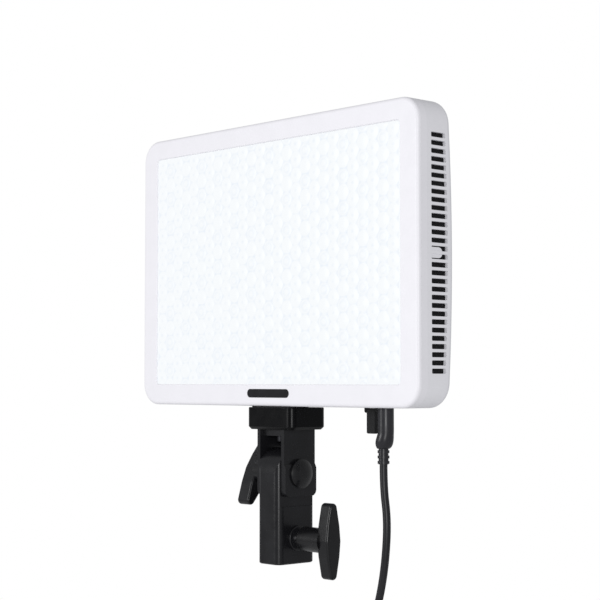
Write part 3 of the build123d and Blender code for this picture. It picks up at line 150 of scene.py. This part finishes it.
def woven(name, colour, pitch):
    """A fine woven cloth: two crossed sets of threads."""
    material, tree, shader, coords = new_material(name)
    heights = []
    for direction in ("Y", "Z"):
        wave = tree.nodes.new("ShaderNodeTexWave")
        wave.bands_direction = direction
        wave.inputs["Scale"].default_value = WAVE_PER_METRE / pitch
        wave.inputs["Distortion"].default_value = 0.3
        tree.links.new(coords, wave.inputs["Vector"])
        heights.append(wave.outputs["Fac"])
    cross = tree.nodes.new("ShaderNodeMath")
    cross.operation = "MAXIMUM"
    tree.links.new(heights[0], cross.inputs[0])
    tree.links.new(heights[1], cross.inputs[1])
    colour_out = ramp(tree, cross.outputs[0], tinted(colour, 0.4), tinted(colour, 1.3), 0.2, 0.9)
    tree.links.new(colour_out, shader.inputs["Base Color"])
    shader.inputs["Roughness"].default_value = 0.85
    shader.inputs["Specular IOR Level"].default_value = 0.15
    bump_node = tree.nodes.new("ShaderNodeBump")
    bump_node.inputs["Strength"].default_value = 0.6
    bump_node.inputs["Distance"].default_value = pitch * 0.3
    tree.links.new(cross.outputs[0], bump_node.inputs["Height"])
    tree.links.new(bump_node.outputs["Normal"], shader.inputs["Normal"])
    return material


bezel_white = surface(
    "bezel_white", (0.83, 0.82, 0.86), 0.42,
    vary=0.012, grain=3200.0, bump=0.08, spec=0.35,
)
cover_white = surface(
    "cover_white", (0.80, 0.795, 0.83), 0.50,
    vary=0.015, grain=2600.0, bump=0.14, spec=0.3,
)
powder_black = surface(
    "powder_black", (0.009, 0.009, 0.0105), 0.27,
    vary=0.25, grain=1900.0, bump=0.22, spec=0.24,
)
block_black = surface(
    "block_black", (0.001, 0.001, 0.0014), 0.26,
    vary=0.2, grain=2600.0, bump=0.16, spec=0.12,
)
handle_black = surface(
    "handle_black", (0.007, 0.007, 0.008), 0.27,
    vary=0.2, grain=1500.0, bump=0.16, spec=0.28,
)
pod_black = surface("pod_black", (0.022, 0.022, 0.024), 0.48, vary=0.12, grain=2300.0, bump=0.25, spec=0.3)
dial_black = surface(
    "dial_black", (0.014, 0.014, 0.015), 0.42,
    vary=0.15, grain=2800.0, bump=0.2, spec=0.35,
)
plug_black = surface(
    "plug_black", (0.014, 0.014, 0.017), 0.32,
    vary=0.18, grain=2200.0, bump=0.18, spec=0.34,
)
jacket_black = surface(
    "jacket_black", (0.011, 0.011, 0.013), 0.36,
    vary=0.2, grain=900.0, bump=0.12, spec=0.28,
)
rubber_black = surface(
    "rubber_black", (0.013, 0.013, 0.014), 0.70,
    vary=0.25, grain=1800.0, bump=0.4, spec=0.2,
)
button_grey = surface("button_grey", (0.16, 0.16, 0.17), 0.60, vary=0.06, grain=3000.0, bump=0.2, spec=0.3)
badge_dark = surface(
    "badge_dark", (0.009, 0.009, 0.011), 0.40,
    vary=0.25, patch=160.0, bump=0.05, spec=0.12,
)
bright_steel = surface(
    "bright_steel", (0.55, 0.55, 0.57), 0.30, metal=1.0,
    vary=0.08, patch=300.0, bump=0.15,
)
dark_steel = surface("dark_steel", (0.025, 0.025, 0.028), 0.40, metal=1.0, vary=0.2, patch=300.0, bump=0.2)
bare_aluminium = surface(
    "bare_aluminium", (0.60, 0.61, 0.63), 0.38, metal=1.0,
    vary=0.07, patch=200.0, bump=0.15,
)
turned_brass = surface(
    "turned_brass", (0.66, 0.48, 0.20), 0.28, metal=1.0,
    vary=0.12, patch=300.0, bump=0.15,
)
board_green = surface("board_green", (0.012, 0.095, 0.040), 0.35, vary=0.25, patch=900.0, bump=0.2)
board_white = surface("board_white", (0.75, 0.76, 0.75), 0.45, vary=0.03, patch=400.0)
chip_black = surface("chip_black", (0.02, 0.02, 0.022), 0.55, vary=0.2, patch=700.0, bump=0.3)
phosphor = surface("phosphor", (0.85, 0.66, 0.12), 0.50, vary=0.06, patch=1500.0)
ribbon_pale = surface("ribbon_pale", (0.62, 0.62, 0.58), 0.35, vary=0.06, patch=600.0)
nylon = surface("nylon", (0.62, 0.60, 0.55), 0.45, vary=0.05)
screen_glass = surface(
    "screen_glass", (0.006, 0.006, 0.007), 0.07,
    vary=0.1, bump=0.01, spec=0.5, Coat_Weight=0.6,
)
lcd_dark = surface("lcd_dark", (0.02, 0.025, 0.03), 0.25, vary=0.1)
vent_mesh = woven("vent_mesh", (0.012, 0.012, 0.013), 0.0007)
tie_cloth = woven("tie_cloth", (0.018, 0.018, 0.019), 0.0006)

finishes = {
    bezel_white: ["front_bezel"],
    cover_white: ["rear_cover"],
    powder_black: ["tilt_arm", "receiver"],
    block_black: ["mount_block"],
    handle_black: ["lock_handle", "clamp_handle", "pivot_cap"],
    pod_black: ["control_pod", "fan_frame", "fan_rotor", "dc_jack", "button_switches"],
    dial_black: ["dial_left", "dial_right"],
    plug_black: ["dc_plug", "inline_connector", "plug_strain_relief"],
    rubber_black: ["port_cover", "port_cover_hinge", "mount_pad"],
    button_grey: [
        "power_button", "menu_button", "mode_button", "back_button",
        "encoder_body_left", "encoder_body_right",
    ],
    badge_dark: ["badge_bar"],
    bright_steel: [
        "board_screws", "heat_sink_screws", "fan_screws", "driver_screws", "usb_port",
        "lock_washer", "clamp_screw", "pivot_bolt", "encoder_shaft_left", "encoder_shaft_right",
    ],
    dark_steel: ["cover_screws", "mount_screw"],
    bare_aluminium: ["heat_sink"],
    turned_brass: ["threaded_insert", "lock_nut", "clamp_shoe"],
    board_green: ["driver_board", "control_board"],
    board_white: ["led_board", "reflector_frame"],
    chip_black: ["driver_components"],
    phosphor: ["led_emitters"],
    ribbon_pale: ["board_ribbon"],
    nylon: ["friction_washers"],
    screen_glass: ["display_window"],
    lcd_dark: ["display_module"],
    vent_mesh: ["vent_screens"],
    tie_cloth: ["cable_tie"],
}
for material, names in finishes.items():
    for name in names:
        for material_slot in nodes[name].material_slots:
            material_slot.material = material

# ---------------------------------------------------------------- power lead
# Route and coil in mm.
CORD_D = 4.8
RELIEF_X = 90.6
RELIEF_END_Z = 66.5      # where the lead leaves the plug's strain relief
JACK_Y = -3.0
COIL_X = 92.0
COIL_Z = -75.0
COIL_MEAN_R = 26.2
COIL_SPREAD = 4.85       # the turns' radius runs this far either side of the mean
COIL_ENTRY = 150.0       # angle round the coil where the lead joins it
COIL_TURNS = 8 + 30 / 360
COIL_STEPS = 130
LAYER_YS = (-3.2, 1.6, 6.4, 11.2)
LAYER_TURNS = 2
LAYER_CHANGE = 0.16      # part of a turn in which the lead steps from one layer to the next
TAIL_X = COIL_X - COIL_MEAN_R - COIL_SPREAD

LEAD_POINTS = [
    (RELIEF_X, JACK_Y, RELIEF_END_Z),
    (RELIEF_X, JACK_Y, 52.0),
    (94.0, -3.3, 34.0),
    (92.8, -3.4, 12.0),
    (88.6, -3.3, -10.0),
    (80.6, -3.2, -33.0),
]
TAIL_POINTS = [
    (TAIL_X + 0.4, 11.5, COIL_Z - 15.0),
    (TAIL_X + 4.4, 12.1, COIL_Z - 30.0),
]


def coil_point(turn):
    """A point of the coil after a number of turns: layers of two turns, wound in and out in turn."""
    layer = min(int(turn / LAYER_TURNS), len(LAYER_YS) - 1)
    along = min(turn / LAYER_TURNS - layer, 1.0)
    swing = COIL_SPREAD * (1 - 2 * along)
    radius = COIL_MEAN_R + (swing if layer % 2 == 0 else -swing)
    if turn > LAYER_TURNS * len(LAYER_YS):
        radius = COIL_MEAN_R + COIL_SPREAD
    y = LAYER_YS[layer]
    for change in range(1, len(LAYER_YS)):
        blend = (turn - LAYER_TURNS * change) / LAYER_CHANGE + 0.5
        if 0 < blend < 1:
            smooth = blend * blend * (3 - 2 * blend)
            y = LAYER_YS[change - 1] + (LAYER_YS[change] - LAYER_YS[change - 1]) * smooth
    angle = math.radians(COIL_ENTRY + 360 * turn)
    return (COIL_X + radius * math.cos(angle), y, COIL_Z + radius * math.sin(angle))


coil_points = [coil_point(COIL_TURNS * step / COIL_STEPS) for step in range(COIL_STEPS + 1)]
lead_curve = bpy.data.curves.new("power_lead", "CURVE")
lead_curve.dimensions = "3D"
lead_points = LEAD_POINTS + coil_points + TAIL_POINTS
spline = lead_curve.splines.new("NURBS")
spline.points.add(len(lead_points) - 1)
for point, place in zip(spline.points, lead_points):
    point.co = (place[0] * MM, place[1] * MM, place[2] * MM, 1)
spline.order_u = 3
spline.use_endpoint_u = True
spline.resolution_u = 6
lead_curve.bevel_depth = CORD_D / 2 * MM
lead_curve.bevel_resolution = 5
lead_curve.use_fill_caps = True
lead_curve.materials.append(jacket_black)
lead = bpy.data.objects.new("power_lead", lead_curve)
scene.collection.objects.link(lead)
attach(lead, "head")
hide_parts("power_cable", "cable_coil", "cable_tail")

# ---------------------------------------------------------------- lens sheet
# The lattice and its lenses in mm, glow from 0 to 1.
LENS_DX = 8.55           # column pitch
LENS_DZ = 9.87           # pitch within a column
LENS_STEP = 0.95         # spacing of the sheet's vertices
DOME_HEIGHT = 0.55
DOME_R = 5.2
LENS_EDGE = 0.5          # plain margin round the lenses
RIM_START = 3.6          # the shade between lenses starts this far from a lens's centre
RIM_WIDTH = 1.6
RIM_SHADE = 0.55
CORE_R = 1.7             # darker spot in the middle of the lenses of every other column
CORE_SHADE = 0.55
RING_R = 2.6             # darker ring in every other lens of the columns between
RING_WIDTH = 0.8
RING_SHADE = 0.35
RING_DIM = 0.18
EDGE_GLOW = 0.9          # glow of the sheet's edges, behind the bezel

# The sheet's outline in metres, inside the CAD lens panel.
FLANGE = 0.003           # the panel reaches this far behind the bezel round the window
STEP_DEPTH = 0.0019      # from the front of the sheet back to its flange
SHEET_GAP = 0.0002


def lens_cell(x, z):
    """The nearest lens on the hexagonal lattice: the distance to its centre, its column and its row."""
    best = None
    column_guess = int(np.round(x / LENS_DX))
    for column in (column_guess - 1, column_guess, column_guess + 1):
        shift = 0.5 if column % 2 else 0.0
        row = int(np.round(z / LENS_DZ - shift))
        distance = math.hypot(x - column * LENS_DX, z - (row + shift) * LENS_DZ)
        if best is None or distance < best[0]:
            best = (distance, column, row)
    return best


def lens_glow(distance, column, row):
    """How white the lit sheet is at a point of a lens, 0 to 1."""
    glow = 1.0
    rim_share = max(0.0, (distance - RIM_START) / RIM_WIDTH)
    glow -= RIM_SHADE * min(1.0, rim_share) ** 1.5
    if column % 2:
        glow -= CORE_SHADE * math.exp(-((distance / CORE_R) ** 2))
    elif (row + column // 2) % 2:
        glow -= RING_DIM
        glow -= RING_SHADE * math.exp(-(((distance - RING_R) / RING_WIDTH) ** 2))
    return max(0.0, glow)


lens_low, lens_high = (Vector(corner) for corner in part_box("lens_panel"))
window_half_w = lens_high.x - FLANGE
window_half_h = (lens_high.z - lens_low.z) / 2 - FLANGE
window_z = (lens_low.z + lens_high.z) / 2
front_y = lens_low.y
nx = int(2 * window_half_w / (LENS_STEP * MM))
nz = int(2 * window_half_h / (LENS_STEP * MM))
xs = np.linspace(-window_half_w + SHEET_GAP, window_half_w - SHEET_GAP, nx + 1)
zs = np.linspace(-window_half_h + SHEET_GAP, window_half_h - SHEET_GAP, nz + 1)
vertices = []
glows = []
for z in zs:
    for x in xs:
        cell = lens_cell(x / MM, z / MM)
        edge = min(window_half_w - abs(x), window_half_h - abs(z)) / MM
        rise = max(0.0, 1 - (cell[0] / DOME_R) ** 2) * DOME_HEIGHT * min(1.0, edge / LENS_EDGE)
        vertices.append((x, front_y + (DOME_HEIGHT - rise) * MM, window_z + z))
        glows.append(lens_glow(*cell))
faces = []
for j in range(nz):
    for i in range(nx):
        corner = j * (nx + 1) + i
        faces.append((corner, corner + 1, corner + nx + 2, corner + nx + 1))
rim = (
    list(range(nx + 1))
    + [j * (nx + 1) + nx for j in range(1, nz + 1)]
    + [nz * (nx + 1) + i for i in range(nx - 1, -1, -1)]
    + [j * (nx + 1) for j in range(nz - 1, 0, -1)]
)
step_y = front_y + STEP_DEPTH
flange_w = lens_high.x - SHEET_GAP
flange_h = (lens_high.z - lens_low.z) / 2 - SHEET_GAP


def add_ring(half_w, half_h, y):
    """A copy of the sheet's outline at a depth, widened to a half width and half height."""
    start = len(vertices)
    for index in rim:
        x, _, z = vertices[index]
        vertices.append((x / xs[-1] * half_w, y, window_z + (z - window_z) / zs[-1] * half_h))
        glows.append(EDGE_GLOW)
    return list(range(start, start + len(rim)))


rings = [
    rim,
    add_ring(xs[-1], zs[-1], step_y),
    add_ring(flange_w, flange_h, step_y),
    add_ring(flange_w, flange_h, lens_high.y),
]
for front_ring, back_ring in zip(rings, rings[1:]):
    for i in range(len(rim)):
        after = (i + 1) % len(rim)
        faces.append((front_ring[after], front_ring[i], back_ring[i], back_ring[after]))
faces.append(tuple(rings[-1]))
lens_mesh = bpy.data.meshes.new("lens_sheet")
lens_mesh.from_pydata(vertices, [], faces)
lens_mesh.update()
glow_layer = lens_mesh.color_attributes.new("glow", "FLOAT_COLOR", "POINT")
glow_values = np.ones((len(vertices), 4), dtype=np.float32)
glow_values[:, :3] = np.array(glows, dtype=np.float32)[:, None]
glow_layer.data.foreach_set("color", glow_values.ravel())
for polygon in lens_mesh.polygons[: nx * nz]:
    polygon.use_smooth = True

MOTTLE_SCALE = 220.0
MOTTLE_SHARE = 0.5
SHADED_LENS = (0.82, 0.88, 0.96)
BRIGHT_LENS = (0.96, 0.985, 1.0)
lens_material, tree, shader, coords = new_material("lit_lenses")
glow_node = tree.nodes.new("ShaderNodeVertexColor")
glow_node.layer_name = "glow"
mottle = tree.nodes.new("ShaderNodeMath")
mottle.operation = "MULTIPLY_ADD"
tree.links.new(noise(tree, coords, MOTTLE_SCALE), mottle.inputs[0])
mottle.inputs[1].default_value = MOTTLE_SHARE
tree.links.new(glow_node.outputs["Color"], mottle.inputs[2])
lit = ramp(tree, mottle.outputs[0], SHADED_LENS, BRIGHT_LENS, 0.35, 1.15)
tree.links.new(lit, shader.inputs["Emission Color"])
shader.inputs["Emission Strength"].default_value = 0.95
shader.inputs["Base Color"].default_value = (0.02, 0.02, 0.025, 1)
shader.inputs["Roughness"].default_value = 0.25
shader.inputs["Specular IOR Level"].default_value = 0.1
lens_mesh.materials.append(lens_material)
lens_sheet = bpy.data.objects.new("lens_sheet", lens_mesh)
scene.collection.objects.link(lens_sheet)
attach(lens_sheet, "head")
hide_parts("lens_panel")

# ---------------------------------------------------------------- floor and light
FLOOR_Z = -0.16
FLOOR_R = 0.7
FLOOR_STEPS = 96
floor_mesh = bpy.data.meshes.new("floor")
floor_ring = [2 * math.pi * i / FLOOR_STEPS for i in range(FLOOR_STEPS)]
floor_mesh.from_pydata(
    [(FLOOR_R * math.cos(turn), FLOOR_R * math.sin(turn), FLOOR_Z) for turn in floor_ring],
    [],
    [tuple(range(FLOOR_STEPS))],
)
floor_mesh.materials.append(surface("floor_white", (0.97, 0.97, 0.97), 0.9, vary=0.005, bump=0.0, spec=0.0))
floor = bpy.data.objects.new("floor", floor_mesh)
scene.collection.objects.link(floor)

FILL_STRENGTH = 0.45     # strength of the even light from all round; the camera sees plain white
world = bpy.data.worlds.new("studio")
world.use_nodes = True
world_tree = world.node_tree
backdrop = world_tree.nodes["Background"]
backdrop.inputs["Color"].default_value = (1, 1, 1, 1)
backdrop.inputs["Strength"].default_value = 1.0
fill = world_tree.nodes.new("ShaderNodeBackground")
fill.inputs["Color"].default_value = (0.97, 0.98, 1.0, 1)
fill.inputs["Strength"].default_value = FILL_STRENGTH
light_path = world_tree.nodes.new("ShaderNodeLightPath")
world_mix = world_tree.nodes.new("ShaderNodeMixShader")
world_tree.links.new(light_path.outputs["Is Camera Ray"], world_mix.inputs[0])
world_tree.links.new(fill.outputs[0], world_mix.inputs[1])
world_tree.links.new(backdrop.outputs[0], world_mix.inputs[2])
world_tree.links.new(world_mix.outputs[0], world_tree.nodes["World Output"].inputs["Surface"])
scene.world = world


def softbox(name, place, target, width, height, power):
    """An upright rectangular area light at a place, aimed at a target."""
    data = bpy.data.lights.new(name, "AREA")
    data.shape = "RECTANGLE"
    data.size = width
    data.size_y = height
    data.energy = power
    light = bpy.data.objects.new(name, data)
    light.location = place
    aim = Vector(target) - Vector(place)
    light.rotation_euler = aim.to_track_quat("-Z", "Y").to_euler()
    scene.collection.objects.link(light)


softbox("key", (-0.9, -1.9, 0.5), (0, 0, 0.15), width=0.9, height=0.9, power=17.0)
softbox("side", (2.0, 0.2, 0.1), (0, 0, 0.1), width=0.8, height=0.8, power=0.4)
softbox("strip", (1.7, -1.6, 0.25), (0, 0, 0.1), width=0.2, height=0.6, power=20.0)
